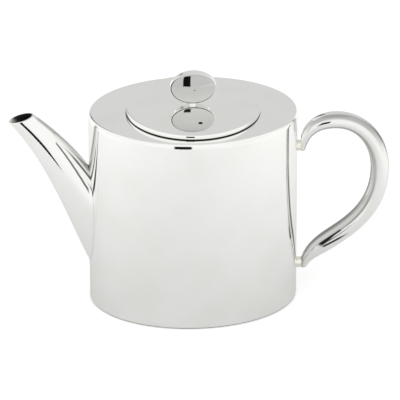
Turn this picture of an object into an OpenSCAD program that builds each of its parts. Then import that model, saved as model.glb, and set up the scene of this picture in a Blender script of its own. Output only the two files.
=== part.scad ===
// Oval metal teapot: a straight oval drum with a flat shoulder, a round lift-off lid,
// a tall-rooted spout on the -X side and a hollow loop handle on the +X side.
// Origin: centre of the underside. +Z is up. All sizes are in millimetres.

/* [Body] */
// Length of the oval body, from the spout side to the handle side
body_length = 130; // [116:1:150]
// Width of the oval body, from front to back
body_width = 95.6; // [92:0.4:110]
// Height of the body, from the table to the flat shoulder
body_height = 129; // [118:0.2:150]
// Thickness of the sheet that the body, spout and lid are made of
sheet = 1.2; // [0.8:0.1:1.6]
// Radius of the rounded edge between the side and the shoulder
shoulder_edge = 2; // [1:0.1:3]
// Radius of the rounded edge between the side and the underside
base_edge = 1.4; // [0.5:0.1:3]

/* [Lid] */
// Diameter of the round lid
lid_diameter = 84; // [76:0.2:86]
// How far the lid reaches past the edge of the filling mouth
lid_overlap = 5.2; // [4:0.1:7]
// Height of the lid's rolled rim above the shoulder
lid_rim_height = 3.2; // [2.4:0.1:4.4]
// Width of the lid's rolled rim
lid_rim_width = 3; // [2.2:0.1:3.8]
// Radius of the rounding on top of the rim
lid_rim_edge = 1.2; // [0.8:0.1:2.2]
// Rise of the lid's centre above its rim
lid_dome = 1.1; // [0.6:0.1:4]
// Depth of the ring under the lid, measured down from the shoulder
bezel_depth = 8; // [5:0.5:12]
// Thickness of the ring under the lid
bezel_thickness = 1; // [0.8:0.1:1.5]
// Radial gap between the ring under the lid and the filling mouth
bezel_clearance = 0.5; // [0.3:0.05:1]
// Depth of the collar that lines the filling mouth
collar_depth = 6; // [4:0.5:10]
// Diameter of the steam vent
vent_diameter = 2.8; // [2:0.1:4]
// Distance of the steam vent from the lid's centre
vent_radius = 26.4; // [16:0.2:30]
// Direction of the steam vent from the lid's centre, in degrees from +X
vent_angle = -84; // [-180:1:180]

/* [Finial] */
// Width of the upright oval finial
finial_width = 28.8; // [22:0.2:34]
// Height of the finial
finial_height = 20.8; // [17:0.2:26]
// Thickness of the finial through its middle
finial_thickness = 8.4; // [7:0.1:11]
// How squarely the finial's faces turn into its rim
finial_squareness = 14; // [4:1:20]
// Radius of the bulge of each broad face of the finial
finial_face_radius = 38; // [34:1:80]
// Height of the neck between the lid and the finial
neck_height = 1.1; // [0.6:0.1:3]
// Diameter of the neck between the lid and the finial
neck_diameter = 4.8; // [4.4:0.1:7]
// Diameter of the stud that holds the finial
stud_diameter = 3; // [2.5:0.1:3.2]
// How deep the stud goes into the finial
stud_grip = 7; // [5:0.5:10]
// Width of the nut across its flats
nut_width = 5.5; // [5:0.1:8]
// Height of the nut
nut_height = 2.4; // [2:0.1:4]
// Diameter of the washer above the nut
washer_diameter = 9; // [8.5:0.5:14]
// Thickness of the washer above the nut
washer_thickness = 0.8; // [0.5:0.1:1.5]

/* [Spout] */
// Reach of the spout's lip beyond the body
spout_reach = 49.4; // [42:0.2:58]
// Length of the spout's mouth, measured level
mouth_length = 15.6; // [12:0.2:18]
// Height of the mouth's inner edge above the shoulder
mouth_rise = 0.4; // [-4:0.2:6]
// Drop of the lip below the mouth's inner edge
lip_drop = 4.6; // [2:0.2:8]
// Width of the spout's mouth
mouth_width = 11; // [9:0.2:14]
// Width of the spout where it meets the body
root_width = 25; // [20:0.5:32]
// Height of the spout's underside where it meets the body
root_low = 26.4; // [20:0.2:36]
// Distance from the shoulder down to the top of the spout where it meets the body
root_drop = 36.4; // [32:0.2:42]
// Slope of the spout's back where it leaves the mouth, in degrees
back_slope_mouth = 40; // [36:1:48]
// Slope of the spout's back where it meets the body, in degrees
back_slope_root = 57; // [52:1:62]
// Slope of the spout's underside where it leaves the mouth, in degrees
under_slope_mouth = 50; // [48:1:58]
// Slope of the spout's underside where it meets the body, in degrees
under_slope_root = 66; // [60:1:68]
// Diameter of the strainer holes behind the spout
strainer_hole = 3.2; // [2.4:0.1:4]
// Spacing of the strainer holes
strainer_pitch = 6.5; // [5.5:0.1:8]

/* [Handle] */
// Reach of the handle's middle line beyond the body
handle_reach = 52; // [46:0.5:60]
// Distance from the shoulder down to the handle's upper tip
handle_drop = 31.2; // [28:0.2:38]
// Height of the handle's lower tip above the table
handle_low = 15.2; // [12:0.2:24]
// Rise of the handle's crown above its upper tip
crown_rise = 21; // [18:0.2:26]
// Distance of the handle's crown from its upper tip, measured level
crown_out = 20; // [17:0.5:24]
// Radius of the handle's rounded tips
tip_radius = 1.6; // [1.4:0.1:2.2]
// Radius of the handle over its crown
crown_radius = 5.4; // [4.8:0.1:6.5]
// Radius of the handle along its lower part
grip_radius = 6.2; // [5.5:0.1:7.2]
// Thickness of the handle's tube
handle_wall = 1; // [0.8:0.1:1.4]
// Length of the solid piece at each end of the handle
handle_end_length = 15; // [13:0.5:18]
// Length of each solid piece's spigot inside the tube
spigot_length = 5; // [3:0.5:8]
// Gap between the body and the handle's upper end
upper_gap = 2.2; // [1.6:0.1:4]
// Gap between the body and the handle's lower end
lower_gap = 3.2; // [2.4:0.1:5]
// Diameter of the round stand-offs that carry the handle
standoff_diameter = 6.8; // [5.5:0.1:8]

/* [Hidden] */

$fn = 96;
oval_sides = 96;
finial_sides = 48;
finial_steps = 12;
half_length = body_length / 2;
half_width = body_width / 2;
least_edge = 0.2;    // least rounding inside an edge of the base or shoulder
past = 1;            // how far a cut runs past the solid it cuts
fit = 0.05;          // gap of parts that are soldered or screwed together
seam_rise = 1;       // straight height that the base and shoulder add to the side
seam_low = base_edge + seam_rise;
seam_high = body_height - shoulder_edge - seam_rise;

lid_radius = lid_diameter / 2;
mouth_radius = lid_radius - lid_overlap;
rim_top = body_height + lid_rim_height;
rim_foot_edge = 0.8;                     // rounding under the rim
rim_head_edge = min(lid_rim_edge, lid_rim_height - rim_foot_edge);
dome_edge = lid_radius - rim_head_edge;  // where the dome meets the rim's rounding
dome_seat = washer_diameter / 2;         // the dome is level inside this, where the finial sits
dome_fullness = 1.9;                    // 1 slopes evenly like a cone, 2 bulges like a bowl
lid_top = rim_top + lid_dome;
bezel_radius = mouth_radius - bezel_clearance;
stud_radius = stud_diameter / 2;
stud_hole = stud_radius + fit;
washer_top = lid_top - sheet;
nut_top = washer_top - washer_thickness;
stud_tail = 1;                           // thread that shows below the nut
neck_bury = 1;                           // neck length that the finial's underside cuts off
finial_low = lid_top + neck_height;
finial_middle = finial_low + finial_height / 2;

// Stations along the spout run from the body, 0, to the mouth, 1.
root_high = body_height - root_drop;
mouth_back = [-half_length - spout_reach + mouth_length, body_height + mouth_rise];
mouth_lip = mouth_back - [mouth_length, lip_drop];
root_top = [-half_length - fit, root_high];
root_bottom = [-half_length - fit, root_low];
spout_back = slope_curve(root_top, mouth_back, back_slope_root, back_slope_mouth);
spout_under = slope_curve(root_bottom, mouth_lip, under_slope_root, under_slope_mouth);
spout_rings = 22;
spout_sides = 32;
strainer_edge = 1;   // least metal between a strainer hole and the spout's inside
strainer_depth = 8;  // length of the strainer's drilling, from outside the side inwards

// The handle's middle line is three curves: the crook from the upper tip to the crown,
// the bow from the crown to the widest point, and the tail down to the lower tip.
// Each pull is the share of the way to the curve's far end that its guide point reaches.
crook_pull_up = 0.66;
crook_pull_back = 0.58;
bow_pull_out = 0.635;
bow_pull_up = 0.49;
tail_pull_down = 0.667;
tail_pull_up = 0.31;
tail_lean = 0.5;     // outward lean of the tail's lower guide point
upper_tip_inset = 1.1; // distance from the flat of the upper end to the middle line
lower_tip_inset = 1.5; // distance from the flat of the lower end to the middle line
upper_tip = [half_length + upper_gap + upper_tip_inset, body_height - handle_drop];
lower_tip = [half_length + lower_gap + lower_tip_inset, handle_low];
crown = upper_tip + [crown_out, crown_rise];
widest_share = 0.67; // height of the widest point, as a share from lower tip to crown
widest = [half_length + handle_reach, lower_tip[1] + widest_share * (crown[1] - lower_tip[1])];
crook_curve = [
    upper_tip, upper_tip + [0, crook_pull_up * crown_rise],
    crown - [crook_pull_back * crown_out, 0], crown
];
bow_curve = [
    crown, crown + [bow_pull_out * (widest[0] - crown[0]), 0],
    widest + [0, bow_pull_up * (crown[1] - widest[1])], widest
];
tail_curve = [
    widest, widest - [0, tail_pull_down * (widest[1] - lower_tip[1])],
    lower_tip + [tail_lean, tail_pull_up * (widest[1] - lower_tip[1])], lower_tip
];
handle_sides = 24;
crook_taper = 34;    // length over which the crook swells to its full radius
tail_taper = 28;     // length over which the tail swells to its full radius

// ---- shared shapes ----

function arc(centre, radius, from, to, steps = 5) = [
    for (i = [0 : steps])
        let (a = from + (to - from) * i / steps)
            centre + radius * [cos(a), sin(a)]
];

// One turn round the body's oval, set in from its outside, at a height.
function oval_ring(inset, z) = [
    for (i = [0 : oval_sides - 1])
        let (a = 360 * i / oval_sides)
            [(half_length - inset) * cos(a), (half_width - inset) * sin(a), z]
];

// Straight oval block between two heights.
module oval_block(inset, low, high) {
    translate([0, 0, low])
        linear_extrude(high - low)
            polygon([for (p = oval_ring(inset, 0)) [p[0], p[1]]]);
}

// Oval dish from its outer face at height face to its brim at height brim: one sheet thick,
// with a rounded edge. It opens upwards or downwards.
module oval_dish(face, brim, edge) {
    up = brim > face ? 1 : -1;
    inner_edge = max(edge - sheet, least_edge);
    outside = [for (p = arc([edge, edge], edge, 270, 180)) oval_ring(p[0], face + up * p[1])];
    inside = [
        for (p = arc([sheet + inner_edge, sheet + inner_edge], inner_edge, 180, 270))
            oval_ring(p[0], face + up * p[1])
    ];
    rings = concat(outside, [oval_ring(0, brim), oval_ring(sheet, brim)], inside);
    outer_pole = [0, 0, face];
    inner_pole = [0, 0, face + up * sheet];
    if (up > 0)
        solid_of_rings(outer_pole, rings, inner_pole);
    else
        solid_of_rings(inner_pole, [for (i = [len(rings) - 1 : -1 : 0]) rings[i]], outer_pole);
}

function bezier(p, t) =
    pow(1 - t, 3) * p[0] + 3 * pow(1 - t, 2) * t * p[1]
    + 3 * (1 - t) * t * t * p[2] + pow(t, 3) * p[3];

function bezier_way(p, t) =
    unit(pow(1 - t, 2) * (p[1] - p[0]) + 2 * (1 - t) * t * (p[2] - p[1])
         + t * t * (p[3] - p[2]));

function unit(v) = v / norm(v);

// Curve that rises towards -X, with a given slope at each end.
function slope_curve(from, to, slope_from, slope_to) =
    let (arm = norm(to - from) / 3)
    [
        from, from + arm * [-cos(slope_from), sin(slope_from)],
        to - arm * [-cos(slope_to), sin(slope_to)], to
    ];

// Side faces between each ring and the next one.
function side_faces(rings, sides, first = 0) = [
    for (r = [0 : rings - 2], s = [0 : sides - 1])
        let (
            a = first + r * sides + s,
            b = first + r * sides + (s + 1) % sides
        )
        each [[a, b, b + sides], [a, b + sides, a + sides]]
];

// Closed ring-shaped shell: the outer rings out, then the inner rings back.
module shell_of_rings(outer, inner) {
    sides = len(outer[0]);
    rings = concat(outer, [for (i = [len(inner) - 1 : -1 : 0]) inner[i]], [outer[0]]);
    total = len(rings) - 1;
    polyhedron(
        points = [for (i = [0 : total - 1]) each rings[i]],
        faces = [for (f = side_faces(total + 1, sides)) [for (v = f) v % (total * sides)]],
        convexity = 6
    );
}

// Solid through a row of rings, closed to a point at both ends.
module solid_of_rings(start, rings, end) {
    sides = len(rings[0]);
    last = len(rings) * sides + 1;
    polyhedron(
        points = concat([start], [for (ring = rings) each ring], [end]),
        faces = concat(
            [for (s = [0 : sides - 1]) [0, 1 + (s + 1) % sides, 1 + s]],
            side_faces(len(rings), sides, 1),
            [
                for (s = [0 : sides - 1])
                    [last, last - sides + s, last - sides + (s + 1) % sides]
            ]
        ),
        convexity = 6
    );
}

// ---- body ----

module body_wall() {
    color("#d9d9da")
        difference() {
            oval_block(0, seam_low, seam_high);
            oval_block(sheet, seam_low - past, seam_high + past);
            strainer_drilling();
        }
}

module base_plate() {
    color("#c9c9cb")
        oval_dish(0, seam_low, base_edge);
}

module shoulder_plate() {
    color("#d2d2d3")
        difference() {
            oval_dish(body_height, seam_high, shoulder_edge);
            translate([0, 0, seam_high])
                cylinder(r = mouth_radius, h = body_height);
        }
}

module mouth_collar() {
    color("#bfbfc1")
        translate([0, 0, body_height - sheet - collar_depth])
            difference() {
                cylinder(r = mouth_radius + sheet, h = collar_depth);
                translate([0, 0, -past])
                    cylinder(r = mouth_radius, h = collar_depth + 2 * past);
            }
}

// ---- spout ----

// Distance that the oval side falls back at a given place across it.
function fall_back(y) = half_length * (1 - sqrt(1 - pow(y / half_width, 2)));

function spout_half_width(u) = (root_width + (mouth_width - root_width) * u) / 2;

// One ring of the spout at station u, set in from the outside by a sheet thickness or by 0.
function spout_ring(u, thick) =
    let (
        top = bezier(spout_back, u),
        bottom = bezier(spout_under, u),
        across = unit(top - bottom),
        top_way = bezier_way(spout_back, u),
        bottom_way = bezier_way(spout_under, u),
        top_in = thick / abs(across[0] * top_way[1] - across[1] * top_way[0]),
        bottom_in = thick / abs(across[0] * bottom_way[1] - across[1] * bottom_way[0]),
        high = top - top_in * across,
        low = bottom + bottom_in * across,
        middle = (high + low) / 2,
        reach = norm(high - low) / 2,
        half = spout_half_width(u) - thick
    )
    [
        for (s = [0 : spout_sides - 1])
            let (
                a = 360 * s / spout_sides,
                y = half * sin(a),
                p = middle + reach * cos(a) * across
            )
            [p[0] + fall_back(y) * pow(1 - u, 2), y, p[1]]
    ];

function spout_rows(thick) = [
    for (i = [0 : spout_rings]) spout_ring(i / spout_rings, thick)
];

module spout_shell() {
    color("#dededf")
        shell_of_rings(spout_rows(0), spout_rows(sheet));
}

// Strainer holes: staggered rows that stay inside the spout's root.
module strainer_drilling() {
    inside = spout_ring(0, sheet + strainer_edge + strainer_hole / 2);
    high = max([for (p = inside) p[2]]);
    low = min([for (p = inside) p[2]]);
    reach_y = max([for (p = inside) p[1]]);
    reach_z = (high - low) / 2;
    row_pitch = strainer_pitch * sin(60);
    rows = floor(reach_z / row_pitch);
    for (row = [-rows : rows], column = [-3 : 3]) {
        y = (column + abs(row % 2) / 2) * strainer_pitch;
        z = row * row_pitch;
        if (pow(y / reach_y, 2) + pow(z / reach_z, 2) <= 1)
            translate([-half_length - past, y, (high + low) / 2 + z])
                rotate([0, 90, 0])
                    cylinder(d = strainer_hole, h = strainer_depth, $fn = 32);
    }
}

// ---- handle ----

function handle_curve(u) = u < 1 ? crook_curve : u < 2 ? bow_curve : tail_curve;
function handle_share(u) = u < 1 ? u : u < 2 ? u - 1 : u - 2;
function handle_place(u) = bezier(handle_curve(u), handle_share(u));
function handle_way(u) = bezier_way(handle_curve(u), handle_share(u));

// Stations along the handle: close together round each tip, then evenly along each curve.
tip_steps = 5;
crook_steps = 9;
bow_steps = 10;
tail_steps = 20;
upper_tip_share = tip_radius / norm(3 * (crook_curve[1] - crook_curve[0]));
lower_tip_share = tip_radius / norm(3 * (tail_curve[3] - tail_curve[2]));
handle_stations = concat(
    [for (i = [1 : tip_steps]) upper_tip_share * (1 - cos(90 * i / tip_steps))],
    [for (i = [1 : crook_steps]) upper_tip_share + (1 - upper_tip_share) * i / crook_steps],
    [for (i = [1 : bow_steps]) 1 + i / bow_steps],
    [for (i = [1 : tail_steps]) 2 + (1 - lower_tip_share) * i / tail_steps],
    [for (i = [1 : tip_steps - 1]) 3 - lower_tip_share * (1 - sin(90 * i / tip_steps))]
);
handle_places = [for (u = handle_stations) handle_place(u)];

// Distance along the handle from the upper tip to each station.
handle_run = [
    for (i = 0, run = norm(handle_places[0] - upper_tip); i < len(handle_places);
         i = i + 1,
         run = run + (i < len(handle_places) ? norm(handle_places[i] - handle_places[i - 1]) : 0))
        run
];
handle_length = handle_run[len(handle_run) - 1] + norm(handle_places[len(handle_places) - 1] - lower_tip);

function swell(run, taper) = sin(90 * min(run / taper, 1));
function tip_round(run) = run >= tip_radius ? 1 : sqrt(1 - pow(1 - run / tip_radius, 2));

// Radius of the handle at a distance along it: round tips, a quick swell, a slow change between.
function handle_radius(run) =
    let (
        back = handle_length - run,
        full = crown_radius + (grip_radius - crown_radius) * pow(sin(90 * run / handle_length), 2)
    )
    (tip_radius + (full - tip_radius) * swell(run, crook_taper) * swell(back, tail_taper))
    * tip_round(run) * tip_round(back);

function handle_ring(i, radius) =
    let (
        place = handle_places[i],
        way = handle_way(handle_stations[i]),
        side = [-way[1], way[0]]
    )
    [
        for (s = [0 : handle_sides - 1])
            let (a = 360 * s / handle_sides)
            [
                place[0] + radius * cos(a) * side[0],
                radius * sin(a),
                place[1] + radius * cos(a) * side[1]
            ]
    ];

// First station past a given distance along the handle.
function station_past(run) = len([for (r = handle_run) if (r < run) r]);

tube_first = station_past(handle_end_length);
tube_last = station_past(handle_length - handle_end_length) - 1;
spigot_first = station_past(handle_end_length + spigot_length);
spigot_last = station_past(handle_length - handle_end_length - spigot_length) - 1;
last_station = len(handle_stations) - 1;

module handle_tube() {
    stations = [tube_first : tube_last];
    color("#dcdcdd")
        shell_of_rings(
            [for (i = stations) handle_ring(i, handle_radius(handle_run[i]))],
            [for (i = stations) handle_ring(i, handle_radius(handle_run[i]) - handle_wall)]
        );
}

function spigot_ring(i) = handle_ring(i, handle_radius(handle_run[i]) - handle_wall - 2 * fit);

function upright(p) = [p[0], 0, p[1]];

module handle_upper_end() {
    color("#d6d6d7")
        difference() {
            solid_of_rings(
                upright(upper_tip),
                concat(
                    [for (i = [0 : tube_first]) handle_ring(i, handle_radius(handle_run[i]))],
                    [for (i = [tube_first : spigot_first]) spigot_ring(i)]
                ),
                upright(handle_places[spigot_first])
            );
            landing_cut(half_length + upper_gap, upper_tip[1]);
        }
}

module handle_lower_end() {
    color("#d6d6d7")
        difference() {
            solid_of_rings(
                upright(handle_places[spigot_last]),
                concat(
                    [for (i = [spigot_last : tube_last]) spigot_ring(i)],
                    [
                        for (i = [tube_last : last_station])
                            handle_ring(i, handle_radius(handle_run[i]))
                    ]
                ),
                upright(lower_tip)
            );
            landing_cut(half_length + lower_gap, lower_tip[1]);
        }
}

// Block that planes a handle end flat where it meets its stand-off.
module landing_cut(x, z) {
    block = 6 * grip_radius;
    translate([x - block, -block / 2, z - block / 2])
        cube([block, block, block]);
}

// Round stand-off from the side of the body to a handle end.
module standoff(gap, z) {
    difference() {
        translate([half_length - past, 0, z])
            rotate([0, 90, 0])
                cylinder(d = standoff_diameter, h = gap + past);
        oval_block(0, seam_low, seam_high);
    }
}

standoff_rise = 4.2; // height of each stand-off's centre above the handle's tip

module handle_upper_standoff() {
    color("#d9d6c8")
        standoff(upper_gap, upper_tip[1] + standoff_rise);
}

module handle_lower_standoff() {
    color("#d9d6c8")
        standoff(lower_gap, lower_tip[1] + standoff_rise);
}

// ---- lid ----

// Height of the dome's top surface at a distance from the lid's centre.
function dome_height(r) =
    lid_top - lid_dome * pow(max(r - dome_seat, 0) / (dome_edge - dome_seat), dome_fullness);

dome_steps = 10;
rim_inside = lid_radius - lid_rim_width;

module lid_disc() {
    underside_edge = min(rim_inside, dome_edge);
    profile = concat(
        [[rim_inside, body_height]],
        arc([lid_radius - rim_foot_edge, body_height + rim_foot_edge], rim_foot_edge, -90, 0),
        arc([lid_radius - rim_head_edge, rim_top - rim_head_edge], rim_head_edge, 0, 90),
        [
            for (i = [1 : dome_steps])
                let (r = dome_edge + (dome_seat - dome_edge) * i / dome_steps)
                [r, dome_height(r)]
        ],
        [[stud_hole, lid_top], [stud_hole, lid_top - sheet]],
        [
            for (i = [0 : dome_steps])
                let (r = dome_seat + (underside_edge - dome_seat) * i / dome_steps)
                [r, dome_height(r) - sheet]
        ]
    );
    color("#d3d3d4")
        difference() {
            rotate_extrude()
                polygon(profile);
            translate([vent_radius * cos(vent_angle), vent_radius * sin(vent_angle), body_height])
                cylinder(d = vent_diameter, h = lid_top, $fn = 32);
        }
}

module lid_bezel() {
    low = body_height - bezel_depth;
    color("#bfbfc1")
        translate([0, 0, low])
            difference() {
                cylinder(r = bezel_radius, h = dome_height(bezel_radius) - sheet - low);
                translate([0, 0, -past])
                    cylinder(r = bezel_radius - bezel_thickness, h = body_height);
            }
}

// ---- finial ----

// Thick oval slice on edge: bulged faces that turn quickly into a rounded rim.
function finial_ring(share, front) = [
    for (i = [0 : finial_sides - 1])
        let (
            a = 360 * i / finial_sides,
            x = share * finial_width / 2 * cos(a),
            z = share * finial_height / 2 * sin(a),
            drop = finial_face_radius - sqrt(pow(finial_face_radius, 2) - x * x - z * z),
            turn = pow(1 - pow(share, finial_squareness), 1 / finial_squareness)
        )
            [x, front * (drop - finial_thickness / 2) * turn, finial_middle + z]
];

module finial_form() {
    share_bias = 0.6;   // below 1, it packs the rings closer to the rim
    shares = [for (i = [1 : finial_steps - 1]) pow(sin(90 * i / finial_steps), share_bias)];
    solid_of_rings(
        [0, -finial_thickness / 2, finial_middle],
        concat(
            [for (share = shares) finial_ring(share, 1)],
            [finial_ring(1, 1)],
            [for (i = [len(shares) - 1 : -1 : 0]) finial_ring(shares[i], -1)]
        ),
        [0, finial_thickness / 2, finial_middle]
    );
}

module finial() {
    color("#e2e2e3")
        difference() {
            finial_form();
            translate([0, 0, finial_low - past])
                cylinder(r = stud_hole, h = stud_grip + past + fit, $fn = 48);
        }
}

module finial_collar() {
    color("#cfcfd0")
        difference() {
            translate([0, 0, lid_top])
                cylinder(d = neck_diameter, h = neck_height + neck_bury, $fn = 48);
            finial_form();
            translate([0, 0, lid_top - past])
                cylinder(r = stud_hole, h = neck_height + neck_bury + 2 * past, $fn = 48);
        }
}

module finial_stud() {
    low = nut_top - nut_height - stud_tail;
    color("#b08d3c")
        translate([0, 0, low])
            cylinder(r = stud_radius, h = finial_low + stud_grip - low, $fn = 48);
}

module finial_washer() {
    color("#c2a24e")
        translate([0, 0, nut_top])
            difference() {
                cylinder(d = washer_diameter, h = washer_thickness, $fn = 48);
                translate([0, 0, -past])
                    cylinder(r = stud_hole, h = washer_thickness + 2 * past, $fn = 48);
            }
}

module finial_nut() {
    color("#c2a24e")
        translate([0, 0, nut_top - nut_height])
            difference() {
                cylinder(d = nut_width / cos(30), h = nut_height, $fn = 6);
                translate([0, 0, -past])
                    cylinder(r = stud_hole, h = nut_height + 2 * past, $fn = 48);
            }
}

body_wall();
base_plate();
shoulder_plate();
mouth_collar();
spout_shell();
handle_tube();
handle_upper_end();
handle_lower_end();
handle_upper_standoff();
handle_lower_standoff();
lid_disc();
lid_bezel();
finial();
finial_collar();
finial_stud();
finial_washer();
finial_nut();
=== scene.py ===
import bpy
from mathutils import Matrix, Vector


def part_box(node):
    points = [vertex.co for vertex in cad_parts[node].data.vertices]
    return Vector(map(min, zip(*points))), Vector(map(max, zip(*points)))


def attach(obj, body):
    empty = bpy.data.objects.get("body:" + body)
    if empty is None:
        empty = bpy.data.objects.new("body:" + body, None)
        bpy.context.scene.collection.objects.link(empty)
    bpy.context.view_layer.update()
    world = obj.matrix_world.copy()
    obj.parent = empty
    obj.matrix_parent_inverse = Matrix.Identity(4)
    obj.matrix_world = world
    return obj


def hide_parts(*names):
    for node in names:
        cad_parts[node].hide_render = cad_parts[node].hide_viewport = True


bl_info = {
    "name": "Oval silver teapot",
    "version": (1, 0, 0),
    "blender": (4, 5, 0),
    "location": "View3D > Sidebar > Teapot",
    "description": "Oval teapot with a spout, a loop handle and a lid, in polished silver",
    "category": "Add Mesh",
}

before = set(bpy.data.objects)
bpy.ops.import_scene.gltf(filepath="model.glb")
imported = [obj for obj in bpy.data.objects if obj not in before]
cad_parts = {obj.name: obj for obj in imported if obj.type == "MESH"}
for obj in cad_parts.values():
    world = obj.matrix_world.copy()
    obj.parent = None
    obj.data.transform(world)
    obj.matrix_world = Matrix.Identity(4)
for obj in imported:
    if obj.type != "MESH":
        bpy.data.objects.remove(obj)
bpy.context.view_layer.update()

import math

import bpy
import numpy as np
from bpy.props import FloatProperty, FloatVectorProperty, PointerProperty
from mathutils import Matrix, Vector

MM = 0.001

# Vertices in one ring of each kind of piece.
OVAL_COLUMNS = 288
SPOUT_COLUMNS = 160
HANDLE_COLUMNS = 120
STANDOFF_COLUMNS = 96
FINIAL_COLUMNS = 192

# Corners of the packed solids that the defaults below come from.
WALL_LOW, WALL_HIGH = (Vector(corner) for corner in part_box("body_wall"))
SHOULDER_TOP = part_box("shoulder_plate")[1][2]
LID_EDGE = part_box("lid_disc")[1][0]


# ---- sizes and colours that a user would change ----

def length(name, description, millimetres, low=0.0, high=1000.0):
    """A length property, given here in millimetres and kept in metres."""
    return FloatProperty(name=name, description=description, default=millimetres * MM,
                         min=low * MM, max=high * MM, precision=5, unit="LENGTH")


def angle(name, description, degrees, low=-180.0, high=180.0):
    """An angle property, given here in degrees."""
    return FloatProperty(name=name, description=description, default=math.radians(degrees),
                         min=math.radians(low), max=math.radians(high), unit="ROTATION")


def share(name, description, default, low=0.0, high=1.0):
    """A plain number between limits."""
    return FloatProperty(name=name, description=description, default=default, min=low, max=high)


def tint(name, description, default):
    """A colour property."""
    return FloatVectorProperty(name=name, description=description, default=default, size=3,
                               subtype="COLOR", min=0.0, max=1.0)


class TeapotDrumSettings(bpy.types.PropertyGroup):
    """Sizes of the oval drum"""
    length: length("Length", "Length of the oval, from spout side to handle side",
                   (WALL_HIGH.x - WALL_LOW.x) / MM)
    width: length("Width", "Width of the oval, from front to back",
                  (WALL_HIGH.y - WALL_LOW.y) / MM)
    height: length("Height", "Height from the table to the flat shoulder", SHOULDER_TOP / MM)
    sheet: length("Sheet", "Thickness of the silver sheet", 1.2)
    seam_low: length("Lower seam", "Height of the seam between base and wall", WALL_LOW.z / MM)
    seam_high: length("Upper seam", "Height of the seam between wall and shoulder",
                      WALL_HIGH.z / MM - 1.0)
    shoulder_edge: length("Shoulder edge", "Quick rounding at the rim of the shoulder", 1.8)
    shoulder_ease: length("Shoulder ease", "Slow rounding from there down to the wall", 7.7)
    shoulder_turn: angle("Shoulder turn", "Tilt of the surface where the two roundings meet", 19)
    base_edge: length("Base edge", "Rounding between wall and base", 1.4)
    mouth_radius: length("Mouth radius", "Radius of the filling mouth", 36.8)
    collar_depth: length("Collar depth", "Depth of the ring that lines the mouth", 6.0)


class TeapotSpoutSettings(bpy.types.PropertyGroup):
    """Sizes of the spout"""
    reach: length("Reach", "Reach of the lip beyond the drum", 49.4)
    mouth_length: length("Mouth length", "Length of the mouth, measured level", 15.6)
    mouth_rise: length("Mouth rise", "Height of the mouth's inner edge above the shoulder",
                       0.4, low=-10)
    lip_drop: length("Lip drop", "Drop of the lip below the mouth's inner edge", 4.6)
    mouth_width: length("Mouth width", "Width of the mouth", 11.0)
    root_width: length("Root width", "Width where the spout meets the drum", 25.0)
    root_low: length("Root foot", "Height of the underside where it meets the drum", 26.4)
    root_drop: length("Root drop", "Distance from the shoulder down to the spout's back",
                      36.4)
    back_slope_mouth: angle("Back slope at mouth", "Slope of the back at the mouth", 40)
    back_slope_root: angle("Back slope at root", "Slope of the back at the drum", 57)
    under_slope_mouth: angle("Underside slope at mouth", "Slope of the underside at the mouth", 50)
    under_slope_root: angle("Underside slope at root", "Slope of the underside at the drum", 66)


class TeapotHandleSettings(bpy.types.PropertyGroup):
    """Sizes of the handle and its stand-offs"""
    reach: length("Reach", "Reach of the middle line beyond the drum", 52.0)
    drop: length("Drop", "Distance from the shoulder down to the upper tip", 31.2)
    low: length("Low", "Height of the lower tip", 15.2)
    crown_rise: length("Crown rise", "Rise of the crown above the upper tip", 21.0)
    crown_out: length("Crown out", "Distance of the crown from the upper tip", 20.0)
    tip_radius: length("Tip radius", "Radius of the rounded tips", 1.6)
    crown_radius: length("Crown radius", "Radius over the crown", 5.4)
    grip_radius: length("Grip radius", "Radius along the lower part", 6.2)
    wall: length("Wall", "Thickness of the tube", 1.0)
    end_length: length("End length", "Length of the solid piece at each end", 15.0)
    upper_gap: length("Upper gap", "Gap between drum and upper end", 2.2)
    lower_gap: length("Lower gap", "Gap between drum and lower end", 3.2)
    upper_inset: length("Upper inset", "From the flat of the upper end to the middle line",
                        1.1)
    lower_inset: length("Lower inset", "From the flat of the lower end to the middle line",
                        1.5)
    standoff_radius: length("Stand-off radius", "Radius of the round stand-offs", 3.4)
    standoff_rise: length("Stand-off rise", "Height of a stand-off above its tip", 4.2)


class TeapotLidSettings(bpy.types.PropertyGroup):
    """Sizes of the lid"""
    radius: length("Radius", "Radius of the round lid", LID_EDGE / MM)
    rim_height: length("Rim height", "Height of the rolled rim above the shoulder", 3.2)
    rim_width: length("Rim width", "Width of the rolled rim", 3.0)
    rim_edge: length("Rim edge", "Quick rounding on top of the rim", 0.8)
    rim_turn: angle("Rim turn", "Tilt of the rim where its side's slow rounding starts", 18)
    foot_edge: length("Foot edge", "Quick rounding under the rim", 0.3)
    foot_turn: angle("Foot turn", "Tilt of the rim where its side's slow rounding ends", 22)
    dome: length("Dome", "Rise of the centre above the rim", 1.1)
    dome_fullness: share("Dome fullness", "1 slopes evenly like a cone, 2 bulges like a bowl",
                         1.9, 1.0, 3.0)
    seat_radius: length("Seat radius", "The dome is level inside this radius", 4.5)
    vent_diameter: length("Vent", "Diameter of the steam vent", 2.8)
    vent_radius: length("Vent distance", "Distance of the vent from the centre", 26.4)
    vent_angle: angle("Vent direction", "Direction of the vent from the handle side", -84)
    bezel_depth: length("Bezel depth", "Depth of the ring below the shoulder", 8.0)
    bezel_thickness: length("Bezel thickness", "Thickness of the ring", 1.0)
    bezel_clearance: length("Bezel clearance", "Gap between the ring and the mouth", 0.5)


class TeapotFinialSettings(bpy.types.PropertyGroup):
    """Sizes of the finial"""
    width: length("Width", "Width of the upright oval", 28.8)
    height: length("Height", "Height of the upright oval", 20.8)
    thickness: length("Thickness", "Thickness through the middle", 8.4)
    face_radius: length("Face radius", "Radius of the bulge of each face", 38.0)
    squareness: share("Squareness", "How quickly the faces turn into the rim", 14.0, 2.0,
                      20.0)
    neck_height: length("Neck height", "Height of the neck", 1.1)
    neck_radius: length("Neck radius", "Radius of the neck", 2.4)


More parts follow.
